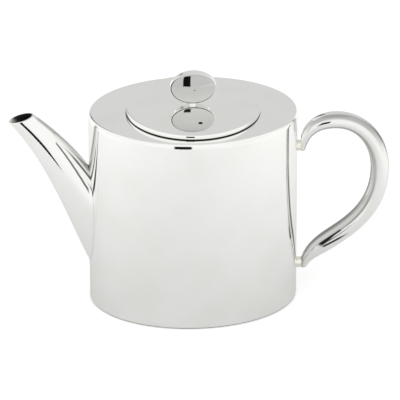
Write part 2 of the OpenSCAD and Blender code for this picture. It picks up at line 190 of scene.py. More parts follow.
class TeapotFinishSettings(bpy.types.PropertyGroup):
    """Colours and polish"""
    silver: tint("Silver", "Colour of the polished silver", (0.955, 0.953, 0.937))
    solder: tint("Solder", "Colour of the soldered stand-offs", (0.90, 0.885, 0.80))
    brass: tint("Brass", "Colour of the lid's fixings", (0.74, 0.56, 0.26))
    polish: share("Polish", "Roughness of the best polished areas", 0.02)
    wear: share("Wear", "Added roughness where hands and cloths have dulled the silver", 0.035)


class TeapotStudioSettings(bpy.types.PropertyGroup):
    """The table, the soft tent of light and the camera"""
    distance: length("Distance", "Distance of the camera", 3000, 500, 10000)
    elevation: angle("Elevation", "Height of the camera above level", 27.784)
    azimuth: angle("Azimuth", "Turn of the camera round the pot, from the front", -4.179)
    lens: FloatProperty(name="Lens", description="Focal length in millimetres", default=431.64,
                        min=20.0, max=1000.0)
    sky_level: share("Sky level", "Brightness of the white tent", 1.0, 0.0, 3.0)
    back_level: share("Back level", "Brightness of the tent behind the pot", 0.69, 0.0, 3.0)
    top_level: share("Top level", "Brightness of the tent's top", 0.75, 0.0, 3.0)
    low_level: share("Low level", "Brightness of the tent below the table's height", 0.92,
                     0.0, 3.0)
    seam_level: share("Seam level", "Brightness of the seam at the back left", 0.04, 0.0, 3.0)
    gap_level: share("Gap level", "Brightness of the gap for the camera", 0.01, 0.0, 3.0)
    floor_glow: share("Floor glow", "Light that lifts the table to white for the camera", 0.42,
                      0.0, 2.0)
    # Near and far glow: the table's added light as the metal shows it, held low close to the pot as
    # a painted shadow.
    near_glow: share("Near glow", "The same for the metal, close to the pot", 0.06, 0.0, 2.0)
    far_glow: share("Far glow", "The same for the metal, away from the pot", 0.365, 0.0, 2.0)


# ---- meshes from grids of rings ----

def around(columns, whole=2 * np.pi):
    """Even steps of a whole turn, which ends where it starts."""
    return np.linspace(0, whole, columns, endpoint=False)


def turns(columns):
    """Degrees from a ring's first vertex, counted both ways round to 180 opposite it."""
    return 180 - np.abs(180 - around(columns, 360))


def ring_surface(name, rings, poles=None, sharp=40.0):
    """Object through a stack of closed rings, an array of rings by columns by 3. Each vertex
    joins its neighbours on its own ring and on the next one. Two poles close the stack's ends
    to points; without them the last ring joins the first. Faces are turned outwards by the sign
    of the enclosed volume."""
    rings = np.asarray(rings, float)
    rows, columns = rings.shape[:2]
    points = rings.reshape(-1, 3)
    row, column = np.arange(rows - 1 if poles else rows)[:, None], np.arange(columns)
    after_row, after_column = (row + 1) % rows, (column + 1) % columns
    quads = np.stack([row * columns + column, row * columns + after_column,
                      after_row * columns + after_column, after_row * columns + column],
                     -1).reshape(-1, 4)
    last = (rows - 1) * columns
    triangles = np.zeros((0, 3), int)
    fans = (after_column, column), (last + column, last + after_column)
    for pole, (one, other) in zip(poles or (), fans):
        tip = np.full(columns, len(points))
        points = np.vstack([points, pole])
        triangles = np.vstack([triangles, np.stack([tip, one, other], -1)])
    halves = np.vstack([quads[:, [0, 1, 2]], quads[:, [0, 2, 3]], triangles])
    corner = points[halves]
    volume = np.einsum("ij,ij->i", corner[:, 0], np.cross(corner[:, 1], corner[:, 2])).sum()
    if volume < 0:
        quads, triangles = quads[:, ::-1], triangles[:, ::-1]
    mesh = bpy.data.meshes.new(name)
    mesh.from_pydata(points.tolist(), [], quads.tolist() + triangles.tolist())
    smooth_shading(mesh, sharp)
    mesh.update()
    piece = bpy.data.objects.new(name, mesh)
    bpy.context.scene.collection.objects.link(piece)
    return piece


def smooth_shading(mesh, sharp=40.0):
    """Smooth shading, but for edges steeper than an angle in degrees."""
    mesh.polygons.foreach_set("use_smooth", np.ones(len(mesh.polygons), bool))
    mesh.set_sharp_from_angle(angle=math.radians(sharp))


def turned(name, profile, columns=192, capped=False):
    """Turned shape: the profile's (radius, height) points carried round the Z axis. The profile
    is a loop, or capped, with both its ends closed at the axis."""
    profile = np.asarray(profile, float)
    a = around(columns)
    rings = np.stack([profile[:, :1] * np.cos(a), profile[:, :1] * np.sin(a),
                      np.repeat(profile[:, 1:], columns, 1)], -1)
    return ring_surface(name, rings, [[0, 0, profile[i, 1]] for i in (0, -1)] if capped else None)


def arc(centre, radius, first, last, steps=10):
    """Points of a circle's arc from one angle to another, in degrees."""
    a = np.radians(np.linspace(first, last, steps))
    return np.stack([centre[0] + radius * np.cos(a), centre[1] + radius * np.sin(a)], -1)


def eased_edge(quick, slow, turn, steps=14):
    """Insets and drops of an edge from a flat top to an upright side: an arc of the quick radius
    until the surface tilts by turn, then one of the slow radius down to upright."""
    steep = np.linspace(math.pi / 2, turn, steps)
    calm = np.linspace(turn, 0, steps)[1:]
    inset = np.concatenate([(slow - quick) * (1 - math.cos(turn)) + quick * (1 - np.cos(steep)),
                            slow * (1 - np.cos(calm))])
    drop = np.concatenate([quick * (1 - np.sin(steep)),
                           quick * (1 - math.sin(turn)) + slow * (math.sin(turn) - np.sin(calm))])
    return inset, drop


def line(first, last, steps=2):
    """Points evenly along a straight line."""
    t = np.linspace(0, 1, steps)[:, None]
    return np.asarray(first, float) * (1 - t) + np.asarray(last, float) * t


def cut(piece, *tools):
    """Drills the tools out of a piece and removes them."""
    for tool in tools:
        boolean = piece.modifiers.new("drilling", "BOOLEAN")
        boolean.operation, boolean.solver, boolean.object = "DIFFERENCE", "EXACT", tool
    graph = bpy.context.evaluated_depsgraph_get()
    drilled = bpy.data.meshes.new_from_object(piece.evaluated_get(graph))
    piece.modifiers.clear()
    old, piece.data = piece.data, drilled
    drilled.name = piece.name
    bpy.data.meshes.remove(old)
    for tool in tools:
        bpy.data.objects.remove(tool)
    smooth_shading(piece.data)


def ease(values, low, high):
    """Smooth steps from 0 at one limit to 1 at the other."""
    t = np.clip((values - low) / (high - low), 0, 1)
    return t * t * (3 - 2 * t)


def band(values, low, high, soft):
    """1 between two limits and 0 outside them, with soft edges."""
    return ease(values, low - soft, low + soft) * (1 - ease(values, high - soft, high + soft))


def places(piece):
    """The piece's vertices, an array of places by 3."""
    found = np.zeros(len(piece.data.vertices) * 3)
    piece.data.vertices.foreach_get("co", found)
    return found.reshape(-1, 3)


def foot_painted_shade(height, low, high):
    """Painted shade at the foot of a piece, where it meets what it stands on, by the height above
    that.
    """
    return 1 - ease(height, low, high)


def store_shade_or_matt(piece, kind, values):
    """Stores a value from 0 to 1 for each vertex, as painted shade or as matt, for the finish to
    read.
    Vertices past the end of the list, which are poles, stay bright."""
    values = np.asarray(values, float).ravel()
    stored = np.zeros(len(piece.data.vertices))
    stored[:len(values)] = values
    piece.data.attributes.new(kind, "FLOAT", "POINT").data.foreach_set("value", stored)


# Body and finish of the pieces in each slot.
SLOTS = {"silver_body": ("body", "polished_silver"), "silver_handle": ("body", "polished_silver"),
         "silver_standoff": ("body", "soldered_silver"), "silver_lid": ("lid", "polished_silver")}


def coat(mesh, finish):
    """Gives a mesh one finish."""
    mesh.materials.clear()
    mesh.materials.append(finish_of(finish))


def fit_out(piece, slot, node):
    """Gives a piece the body and finish of its slot, and hides the solid that it stands for."""
    body, finish = SLOTS[slot]
    coat(piece.data, finish)
    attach(piece, body)
    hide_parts(node)


# ---- finishes ----

def node_tree(owner):
    """Emptied node tree of a material or world."""
    owner.use_nodes = True
    owner.node_tree.nodes.clear()
    return owner.node_tree


def add(tree, kind, inputs=None, **settings):
    """Adds a node; inputs that are sockets are linked, and others are set."""
    node = tree.nodes.new(kind)
    for key, value in settings.items():
        setattr(node, key, value)
    for key, value in (inputs or {}).items():
        if isinstance(value, bpy.types.NodeSocket):
            tree.links.new(value, node.inputs[key])
        else:
            node.inputs[key].default_value = value
    return node


def maths(tree, operation, *values):
    """Result of a maths node for sockets or numbers."""
    return add(tree, "ShaderNodeMath", dict(enumerate(values)), operation=operation).outputs[0]


def times(tree, a, b):
    """Product of two values."""
    return maths(tree, "MULTIPLY", a, b)


def ramp(tree, value, low, high, to_low=0.0, to_high=1.0, smooth=False):
    """A value's range spread over another range."""
    node = add(tree, "ShaderNodeMapRange", {0: value, 1: low, 2: high, 3: to_low, 4: to_high})
    node.interpolation_type = "SMOOTHSTEP" if smooth else "LINEAR"
    return node.outputs[0]


CLOUD_SCALE, RUBBING_SCALE = 38.0, 420.0    # per metre
DULLED = (0.965, 0.965, 0.945)              # tint of the worn clouds
FULL_PAINTED_SHADE = 0.02                         # share of the colour that full painted shade leaves
MATT_ROUGHNESS = 0.5                        # added where a piece is fully matt
RUBBING_STRENGTH, RUBBING_DEPTH = 0.012, 0.4 * MM


def polished_metal(name, colour, polish, wear, grain=1.0):
    """Polished metal: soft clouds of wear in tint and roughness, and fine rubbing marks. The
    painted shade of a vertex darkens the metal's colour where shade and dark reflections are
    painted, and its matt value roughens it."""
    material = bpy.data.materials.new(name)
    tree = node_tree(material)
    place = add(tree, "ShaderNodeTexCoord").outputs["Object"]
    clouds = add(tree, "ShaderNodeTexNoise",
                 {"Vector": place, "Scale": CLOUD_SCALE, "Detail": 3.0, "Roughness": 0.55})
    stretched = add(tree, "ShaderNodeMapping", {"Vector": place, "Scale": (1.0, 1.0, 7.0)})
    rubbing = add(tree, "ShaderNodeTexNoise",
                  {"Vector": stretched.outputs[0], "Scale": RUBBING_SCALE, "Detail": 2.0})
    dulled = [c * kept for c, kept in zip(colour, DULLED)]
    cloudy = add(tree, "ShaderNodeMix", {0: ramp(tree, clouds.outputs[0], 0.42, 0.72),
                                         6: (*colour, 1.0), 7: (*dulled, 1.0)},
                 data_type="RGBA")
    mixed = times(tree, clouds.outputs[0], rubbing.outputs[0])
    rough = ramp(tree, mixed, 0.12, 0.42, polish, polish + wear)
    matt = add(tree, "ShaderNodeAttribute", attribute_name="matt").outputs["Fac"]
    rough = maths(tree, "MULTIPLY_ADD", matt, MATT_ROUGHNESS, rough)
    # Painted shade: a vertex value that darkens the colour where shade and dark reflections are
    # painted.
    painted_shade = add(tree, "ShaderNodeAttribute", attribute_name="painted_shade").outputs["Fac"]
    kept = ramp(tree, painted_shade, 0.0, 1.0, 1.0, FULL_PAINTED_SHADE)
    shaded = add(tree, "ShaderNodeVectorMath", {0: cloudy.outputs[2], "Scale": kept},
                  operation="SCALE").outputs[0]
    bump = add(tree, "ShaderNodeBump", {"Strength": RUBBING_STRENGTH * grain,
                                        "Distance": RUBBING_DEPTH, "Height": rubbing.outputs[0]})
    shader = add(tree, "ShaderNodeBsdfPrincipled",
                 {"Base Color": shaded, "Metallic": 1.0, "Roughness": rough,
                  "Normal": bump.outputs[0]})
    add(tree, "ShaderNodeOutputMaterial", {"Surface": shader.outputs[0]})
    return material


def finish_of(kind):
    """The named finish, made once."""
    finish = bpy.context.scene.teapot_finish
    found = bpy.data.materials.get(kind)
    if found:
        return found
    colour, coarseness, grain = {"polished_silver": (finish.silver, 1.0, 1.0),
                                 "soldered_silver": (finish.solder, 1.0, 2.0),
                                 "turned_brass": (finish.brass, 6.0, 4.0)}[kind]
    return polished_metal(kind, tuple(colour), finish.polish * coarseness, finish.wear, grain)


# ---- drum ----

def oval(drum, inset, height):
    """One turn round the oval, set in from its outside."""
    a = around(OVAL_COLUMNS)
    return np.stack([(drum.length / 2 - inset) * np.cos(a), (drum.width / 2 - inset) * np.sin(a),
                     np.full(OVAL_COLUMNS, height)], -1)


def drum_wall(drum):
    """Straight wall: the oval carried up its height, outside and inside."""
    heights = np.linspace(drum.seam_low, drum.seam_high, 24)
    rings = [oval(drum, 0, z) for z in heights]
    rings += [oval(drum, drum.sheet, z) for z in heights[::-1]]
    return ring_surface("body_wall_silver", rings)


def strainer_drills(drum, spout):
    """Drills of the strainer: staggered rows inside the spout's root."""
    hole, pitch, edge = 1.6 * MM, 6.5 * MM, 1.0 * MM
    behind, ahead = -1.0 * MM, 6.0 * MM     # ends of a drill, from the tip of the oval
    inside = spout_ring(drum, spout, 0.0, drum.sheet + edge + hole, 64)
    high, low = inside[:, 2].max(), inside[:, 2].min()
    reach_y, reach_z = inside[:, 1].max(), (high - low) / 2
    row_pitch = pitch * math.sin(math.radians(60))
    a = around(24)
    circle = np.stack([0 * a, hole * np.cos(a), hole * np.sin(a)], -1)
    drills = []
    rows = int(reach_z // row_pitch)
    for row in range(-rows, rows + 1):
        for column in range(-3, 4):
            y, z = (column + (row % 2) / 2) * pitch, row * row_pitch
            if (y / reach_y) ** 2 + (z / reach_z) ** 2 > 1:
                continue
            centre = np.array([-drum.length / 2, y, (high + low) / 2 + z])
            ends = [centre + [x, 0, 0] for x in (behind, ahead)]
            drills.append(ring_surface("drill", [circle + end for end in ends], ends))
    return drills


def dish(name, drum, face, brim, edge, mouth=0.0):
    """Flat oval plate with a rounded edge, given by its insets and drops, and an upstand that
    meets the wall. With a mouth, the flat part runs from the mouth's circle out to the oval."""
    up = 1 if brim > face else -1
    inner_edge = max(edge[0][0] - drum.sheet, 0.2 * MM)
    lip = 0.25 * MM     # eases the mouth's edge
    a = around(OVAL_COLUMNS)

    def flat(height, inset, steps=(0.0, 0.3, 0.6, 0.9, 0.985)):
        """Rings of the flat part, from the middle or the mouth outwards."""
        rim = oval(drum, inset, height)
        hub = np.stack([mouth * np.cos(a), mouth * np.sin(a), np.full(OVAL_COLUMNS, height)], -1)
        first = 0 if mouth else 1
        return [hub * (1 - t) + rim * t for t in steps[first:]]

    outer = flat(face, edge[0][0])
    inner = flat(face + up * drum.sheet, drum.sheet + inner_edge)
    if mouth:
        outer[0] = outer[0] * [1, 1, 0] + [0, 0, face + up * lip]
        wider = (mouth + lip) / mouth
        outer.insert(1, outer[0] * [wider, wider, 0] + [0, 0, face])
    outer += [oval(drum, inset, face + up * drop) for inset, drop in zip(*edge)]
    outer += [oval(drum, 0, face + up * (edge[1][-1] + 0.1 * MM)), oval(drum, 0, brim)]
    inner += [oval(drum, drum.sheet + inner_edge * (1 - math.sin(t)),
                   face + up * (drum.sheet + inner_edge * (1 - math.cos(t))))
              for t in np.radians(np.linspace(0, 90, 8))]
    inner += [oval(drum, drum.sheet, brim)]
    poles = None if mouth else ([0, 0, face], [0, 0, face + up * drum.sheet])
    return ring_surface(name, outer + inner[::-1], poles)


class TEAPOT_OT_drum(bpy.types.Operator):
    """Add the oval drum: wall, base, shoulder and the collar that lines the mouth"""
    bl_idname = "teapot.drum"
    bl_label = "Drum"

    def execute(self, context):
        drum, spout = context.scene.teapot_drum, context.scene.teapot_spout
        wall = drum_wall(drum)
        cut(wall, *strainer_drills(drum, spout))
        fit_out(wall, "silver_body", "body_wall")
        base = dish("base_silver", drum, 0.0, drum.seam_low,
                    eased_edge(drum.base_edge, drum.base_edge, math.radians(45)))
        # Painted shade along the base's foot, where it meets the table.
        store_shade_or_matt(base, "painted_shade", foot_painted_shade(places(base)[:, 2], 0.4 * MM, 0.9 * MM))
        fit_out(base, "silver_body", "base_plate")
        edge = eased_edge(drum.shoulder_edge, drum.shoulder_ease, drum.shoulder_turn)
        shoulder = dish("shoulder_silver", drum, drum.height, drum.seam_high, edge,
                        drum.mouth_radius)
        fit_out(shoulder, "silver_body", "shoulder_plate")
        top = drum.height - drum.sheet
        r, low = drum.mouth_radius, top - drum.collar_depth
        collar = turned("mouth_collar_silver", [
            (r, low), (r + drum.sheet, low), (r + drum.sheet, top), (r, top)])
        fit_out(collar, "silver_body", "mouth_collar")
        return {"FINISHED"}


# ---- spout ----

def bezier(points, t):
    """Points of a cubic curve through its four guide points, at shares t."""
    p = np.asarray(points, float)
    t = np.atleast_1d(t)[:, None]
    return ((1 - t) ** 3 * p[0] + 3 * (1 - t) ** 2 * t * p[1] + 3 * (1 - t) * t ** 2 * p[2]
            + t ** 3 * p[3])


def bezier_way(points, t):
    """Unit directions along a cubic curve at shares t."""
    p = np.asarray(points, float)
    t = np.atleast_1d(t)[:, None]
    way = ((1 - t) ** 2 * (p[1] - p[0]) + 2 * (1 - t) * t * (p[2] - p[1])
           + t ** 2 * (p[3] - p[2]))
    return way / np.linalg.norm(way, axis=1, keepdims=True)


def slope_curve(first, last, slope_first, slope_last):
    """Guide points of a curve that rises towards -X with a given slope at each end."""
    first, last = np.asarray(first), np.asarray(last)
    arm = np.linalg.norm(last - first) / 3
    leave, arrive = (arm * np.array([-math.cos(slope), math.sin(slope)])
                     for slope in (slope_first, slope_last))
    return [first, first + leave, last - arrive, last]


def spout_ring(drum, spout, u, thick, columns=SPOUT_COLUMNS):
    """Ring of the spout at station u, from the drum, 0, to the mouth, 1: an ellipse hung between
    the back's and the underside's curves, set in by thick, and laid on the drum's side at the
    root."""
    half, root = drum.length / 2, 0.05 * MM
    back_end = np.array([-half - spout.reach + spout.mouth_length,
                         drum.height + spout.mouth_rise])
    lip = back_end - [spout.mouth_length, spout.lip_drop]
    back = slope_curve([-half - root, drum.height - spout.root_drop], back_end,
                       spout.back_slope_root, spout.back_slope_mouth)
    under = slope_curve([-half - root, spout.root_low], lip,
                        spout.under_slope_root, spout.under_slope_mouth)
    top, bottom = bezier(back, u)[0], bezier(under, u)[0]
    across = (top - bottom) / np.linalg.norm(top - bottom)
    way_top, way_bottom = bezier_way(back, u)[0], bezier_way(under, u)[0]
    top = top - across * thick / abs(across[0] * way_top[1] - across[1] * way_top[0])
    bottom = bottom + across * thick / abs(across[0] * way_bottom[1] - across[1] * way_bottom[0])
    a = around(columns)
    y = ((spout.root_width + (spout.mouth_width - spout.root_width) * u) / 2 - thick) * np.sin(a)
    middle, reach = (top + bottom) / 2, np.linalg.norm(top - bottom) / 2
    x = middle[0] + reach * np.cos(a) * across[0]
    z = middle[1] + reach * np.cos(a) * across[1]
    fall = half * (1 - np.sqrt(1 - (y / (drum.width / 2)) ** 2))
    return np.stack([x + fall * (1 - u) ** 2, y, z], -1)


def spout_painted_shade(u):
    """Painted dark reflections at stations u of the spout's outside, by the turn from its back: a
    soft dark line along the back, and on each side two thin ones, one at a fixed turn and one that
    turns away from the back towards the drum."""
    turn, u = turns(SPOUT_COLUMNS), u[:, None]
    outer_start, outer_turn, outer_slant, inner_turn = 0.605, 45.5, 24, 34
    back = 0.35 * (1 - ease(turn, 14, 34)) * (1 - ease(u, 0.9, 0.98))
    outer = band(turn - outer_turn - outer_slant * (outer_start - u), -2.7, 2.7, 1.2) * \
        band(u, 0.06, outer_start + 0.005, 0.01)
    inner = band(turn - inner_turn, -3.0, 3.0, 1.6) * (1 - ease(u, 0.24, 0.55))
    return np.clip(back + 0.9 * outer + 0.95 * inner, 0, 1)


class TEAPOT_OT_spout(bpy.types.Operator):
    """Add the spout, a tapering shell with an oval mouth"""
    bl_idname = "teapot.spout"
    bl_label = "Spout"

    def execute(self, context):
        drum, spout = context.scene.teapot_drum, context.scene.teapot_spout
        stations = np.concatenate([np.linspace(0, 0.985, 90), [0.993, 0.998, 1.0]])
        lip = np.zeros(len(stations))       # shares of the sheet that round the lip
        lip[-2:] = 0.06, 0.2
        outside = [spout_ring(drum, spout, u, drum.sheet * t) for u, t in zip(stations, lip)]
        inside = [spout_ring(drum, spout, 1.0, drum.sheet * (1 - lip[-1]))]
        inside += [spout_ring(drum, spout, u, drum.sheet) for u in stations[-2::-1]]
        shell = ring_surface("spout_silver", outside + inside)
        # Painted shade: the throat is darkened, but for a line along the underside that is left
        # light.
        throat_shade = np.tile(0.93 * (1 - ease(turns(SPOUT_COLUMNS), 118, 165)), (len(inside), 1))
        store_shade_or_matt(shell, "painted_shade", np.vstack([spout_painted_shade(stations), throat_shade]))
        store_shade_or_matt(shell, "matt", np.repeat([0.0, 1.0], np.array([len(outside), len(inside)])
                                       * SPOUT_COLUMNS))
        fit_out(shell, "silver_body", "spout_shell")
        return {"FINISHED"}


# ---- handle ----

# Guide points of the handle's middle line, as shares of the way between its crown, widest point
# and tips, and how far it swells from its tips.
WIDEST_HEIGHT, CROOK_UP, CROOK_BACK = 0.67, 0.66, 0.58
BOW_OUT, BOW_UP, TAIL_DOWN, TAIL_UP = 0.635, 0.49, 0.667, 0.31
TAIL_LEAN = 0.5 * MM
UPPER_SWELL, LOWER_SWELL = 34 * MM, 28 * MM


def handle_line(drum, handle):
    """The handle's middle line: the crook up to the crown, the bow out to the widest point and
    the tail down to the lower tip. Gives its points, directions and distances along it."""
    half = drum.length / 2
    upper = np.array([half + handle.upper_gap + handle.upper_inset, drum.height - handle.drop])
    lower = np.array([half + handle.lower_gap + handle.lower_inset, handle.low])
    crown = upper + [handle.crown_out, handle.crown_rise]
    widest = np.array([half + handle.reach, lower[1] + WIDEST_HEIGHT * (crown[1] - lower[1])])
    crook = [upper, upper + [0, CROOK_UP * handle.crown_rise],
             crown - [CROOK_BACK * handle.crown_out, 0], crown]
    bow = [crown, crown + [BOW_OUT * (widest[0] - crown[0]), 0],
           widest + [0, BOW_UP * (crown[1] - widest[1])], widest]
    tail = [widest, widest - [0, TAIL_DOWN * (widest[1] - lower[1])],
            lower + [TAIL_LEAN, TAIL_UP * (widest[1] - lower[1])], lower]
    t = np.linspace(0, 1, 1001)
    path, ways = (np.vstack([curve(crook, t)[:-1], curve(bow, t)[:-1], curve(tail, t)])
                  for curve in (bezier, bezier_way))
    run = np.concatenate([[0], np.linalg.norm(np.diff(path, axis=0), axis=1).cumsum()])
    return path, ways, run


def handle_radius(handle, run, total):
    """Radius at a distance along the handle: round tips, a quick swell, then a slow change."""
    back = total - run
    full = handle.crown_radius + (handle.grip_radius - handle.crown_radius) * \
        np.sin(np.pi / 2 * run / total) ** 2
    swell = np.sin(np.pi / 2 * np.minimum(run / UPPER_SWELL, 1)) * \
        np.sin(np.pi / 2 * np.minimum(back / LOWER_SWELL, 1))
    upper_tip, lower_tip = (np.sqrt(1 - (1 - np.minimum(distance / handle.tip_radius, 1)) ** 2)
                            for distance in (run, back))
    return (handle.tip_radius + (full - handle.tip_radius) * swell) * upper_tip * lower_tip


def handle_rings(handle, middle_line, runs, less=0.0):
    """Circles square to the middle line, with the handle's radius there, or less."""
    path, ways, run = middle_line
    radii = handle_radius(handle, runs, run[-1]) - less
    place, way = (np.stack([np.interp(runs, run, part) for part in whole.T], -1)
                  for whole in (path, ways))
    way /= np.linalg.norm(way, axis=1, keepdims=True)
    a = around(HANDLE_COLUMNS)
    across, sideways = radii[:, None] * np.cos(a), radii[:, None] * np.sin(a)
    return np.stack([place[:, :1] - across * way[:, 1:], sideways,
                     place[:, 1:] + across * way[:, :1]], -1)


def handle_painted_shade(run, total):
    """Painted shade and dark reflections on the handle, by the share of the way along it and the
    turn from its outer side, 0, to the palm's side, 180: all of it a little, the palm's side, the
    shoulder of the crown, the outer side, and on the lower bend's front two dark streaks."""
    along, turn = (run / total)[:, None], turns(HANDLE_COLUMNS)
    front = around(HANDLE_COLUMNS, 360) > 180
    palm = 0.32 * ease(turn, 108, 124) * (1 - 0.5 * ease(turn, 134, 150)) + \
        0.5 * ease(turn, 156, 166) * ease(along, 0.1, 0.2)
    crown = 0.46 * band(turn, 24, 60, 9) * ease(along, 0.06, 0.14) * \
        (1 - ease(along, 0.30, 0.44))
    outer = (0.34 + 0.5 * band(along, 0.34, 0.43, 0.04)) * (1 - ease(turn, 14, 36)) * \
        ease(along, 0.26, 0.34) * (1 - ease(along, 0.74, 0.84))
    upper = band(turn, 117 - 12 * ease(along, 0.80, 0.86), 127, 2.5) * \
        (0.35 * band(along, 0.55, 0.79, 0.08) + 0.95 * band(along, 0.785, 0.88, 0.012))
    slant, end_turn, end = 165, 95, 0.866
    lower = 0.98 * band(turn - end_turn - slant * (along - end), -6, 6, 2.0) * \
        ease(along, 0.755, 0.815) * (1 - ease(along, end + 0.002, end + 0.014))
    return np.clip(0.06 + palm + crown + outer + front * (upper + lower), 0, 1)


class TEAPOT_OT_handle(bpy.types.Operator):
    """Add the hollow loop handle: its tube and the piece at each end"""
    bl_idname = "teapot.handle"
    bl_label = "Handle"

    def execute(self, context):
        drum, handle = context.scene.teapot_drum, context.scene.teapot_handle
        data = handle_line(drum, handle)
        total, split = data[2][-1], handle.end_length
        runs = np.linspace(split, total - split, 260)
        tube = ring_surface("handle_tube_silver", np.vstack([
            handle_rings(handle, data, runs), handle_rings(handle, data, runs[::-1], handle.wall)]))
        # Painted shade and dark reflections along the tube.
        store_shade_or_matt(tube, "painted_shade", handle_painted_shade(runs, total))
        fit_out(tube, "silver_handle", "handle_tube")

        over_tip = handle.tip_radius * (1 - np.cos(np.linspace(0, np.pi / 2, 14)))[1:]
        from_tip = np.concatenate([over_tip, np.linspace(handle.tip_radius, split, 44)[1:]])
        for name, gap, runs, (x, z) in (
                ("handle_upper_end", handle.upper_gap, from_tip, data[0][0]),
                ("handle_lower_end", handle.lower_gap, total - from_tip, data[0][-1])):
            rings = handle_rings(handle, data, runs)
            rings[..., 0] = np.maximum(rings[..., 0], drum.length / 2 + gap)
            piece = ring_surface(name + "_silver", rings, ([x, 0, z], rings[-1].mean(0)))
            # Painted shade and dark reflections on the end piece.
            store_shade_or_matt(piece, "painted_shade", handle_painted_shade(runs, total))
            fit_out(piece, "silver_handle", name)
        return {"FINISHED"}


class TEAPOT_OT_standoffs(bpy.types.Operator):
    """Add the two round stand-offs that carry the handle"""
    bl_idname = "teapot.standoffs"
    bl_label = "Stand-offs"

    def execute(self, context):
        drum, handle = context.scene.teapot_drum, context.scene.teapot_handle
        half, r = drum.length / 2, handle.standoff_radius
        fillet, sunk = 0.35 * MM, 0.6 * MM      # rounding at the drum, and depth into it
        a = around(STANDOFF_COLUMNS)
        for name, gap, height in (
                ("handle_upper_standoff", handle.upper_gap,
                 drum.height - handle.drop + handle.standoff_rise),
                ("handle_lower_standoff", handle.lower_gap, handle.low + handle.standoff_rise)):
            profile = np.vstack([
                [[r + fillet, -sunk]],
                arc((r + fillet, fillet), fillet, 270, 180, 8),
                line((r, fillet), (r, gap - fillet), 6)[1:-1],
                arc((r + fillet * 0.6, gap - fillet * 0.6), fillet * 0.6, 180, 90, 6)[:-1],
                [[r + fillet * 0.4, gap]]])
            rings = np.stack([np.repeat(half + profile[:, 1:], STANDOFF_COLUMNS, 1),
                              profile[:, :1] * np.cos(a),
                              height + profile[:, :1] * np.sin(a)], -1)
            piece = ring_surface(name + "_silver", rings,
                                 ([half - sunk, 0, height], [half + gap, 0, height]))
            fit_out(piece, "silver_standoff", name)
        return {"FINISHED"}


# ---- lid ----

STUD_BORE = 1.55 * MM       # radius of the hole for the finial's stud


def rim_profile(drum, lid):
    """The rim's side from the dome to the foot: a quick arc at the top, a slow one that bulges
    down the side and turns under it, and a quick one into the foot."""
    over, under = lid.rim_turn, lid.foot_turn
    side = (lid.rim_height - lid.rim_edge * (1 - math.sin(over))
            - lid.foot_edge * (1 - math.sin(under))) / (math.sin(over) + math.sin(under))
    head = (side - lid.rim_edge) * np.array([math.cos(over), math.sin(over)])
    foot = (side - lid.foot_edge) * np.array([math.cos(under), -math.sin(under)])
    middle = np.array([lid.radius - side,
                       drum.height + lid.rim_height - lid.rim_edge - head[1]])
    over, under = math.degrees(over), -math.degrees(under)
    return np.vstack([arc(middle + head, lid.rim_edge, 90, over, 12),
                      arc(middle, side, over, under, 16)[1:],
                      arc(middle + foot, lid.foot_edge, under, -90, 8)[1:]])


def dome_height(drum, lid, r):
    """Height of the dome: level at the seat, then falling to the rim by a power of the way out."""
    top = drum.height + lid.rim_height
    edge = rim_profile(drum, lid)[0, 0]
    way = np.maximum(r - lid.seat_radius, 0) / (edge - lid.seat_radius)
    return top + lid.dome * (1 - way ** lid.dome_fullness)


class TEAPOT_OT_lid(bpy.types.Operator):
    """Add the round lid with its rolled rim and vent, and the ring under it"""
    bl_idname = "teapot.lid"
    bl_label = "Lid"

    def execute(self, context):
        drum, lid = context.scene.teapot_drum, context.scene.teapot_lid
        seat, top = drum.height, drum.height + lid.rim_height
        rim = rim_profile(drum, lid)
        inside = lid.radius - lid.rim_width
        outer = np.concatenate([[STUD_BORE, lid.seat_radius * 0.7, lid.seat_radius],
                                np.linspace(lid.seat_radius, rim[0, 0], 40)[1:]])
        under = np.concatenate([np.linspace(inside, lid.seat_radius, 24), [STUD_BORE]])
        profile = np.vstack([
            np.stack([outer, dome_height(drum, lid, outer)], -1)[:-1],
            rim, [[inside, seat]],
            np.stack([under, dome_height(drum, lid, under) - drum.sheet], -1)])
        disc = turned("lid_silver", profile, columns=OVAL_COLUMNS)
        x, y = (lid.vent_radius * f(lid.vent_angle) for f in (math.cos, math.sin))
        drill = turned("drill", [(lid.vent_diameter / 2, z) for z in (seat, top + 10 * MM)],
                       columns=48, capped=True)
        drill.data.transform(Matrix.Translation((x, y, 0)))
        cut(disc, drill)
        # Painted shade at the rim's foot, where it meets the shoulder.
        store_shade_or_matt(disc, "painted_shade", foot_painted_shade(places(disc)[:, 2] - seat, 0.55 * MM, 0.95 * MM))
        fit_out(disc, "silver_lid", "lid_disc")

        r = drum.mouth_radius - lid.bezel_clearance
        low, t = drum.height - lid.bezel_depth, lid.bezel_thickness
        high = float(dome_height(drum, lid, r)) - drum.sheet
        ring = turned("lid_bezel_silver", np.vstack([
            line((r - t, high), (r, high)), line((r, high), (r, low + t / 2), 4)[1:],
            arc((r - t / 2, low + t / 2), t / 2, 0, -180, 12)[1:],
            line((r - t, low + t / 2), (r - t, high), 4)[1:-1]]))
        fit_out(ring, "silver_lid", "lid_bezel")
        return {"FINISHED"}


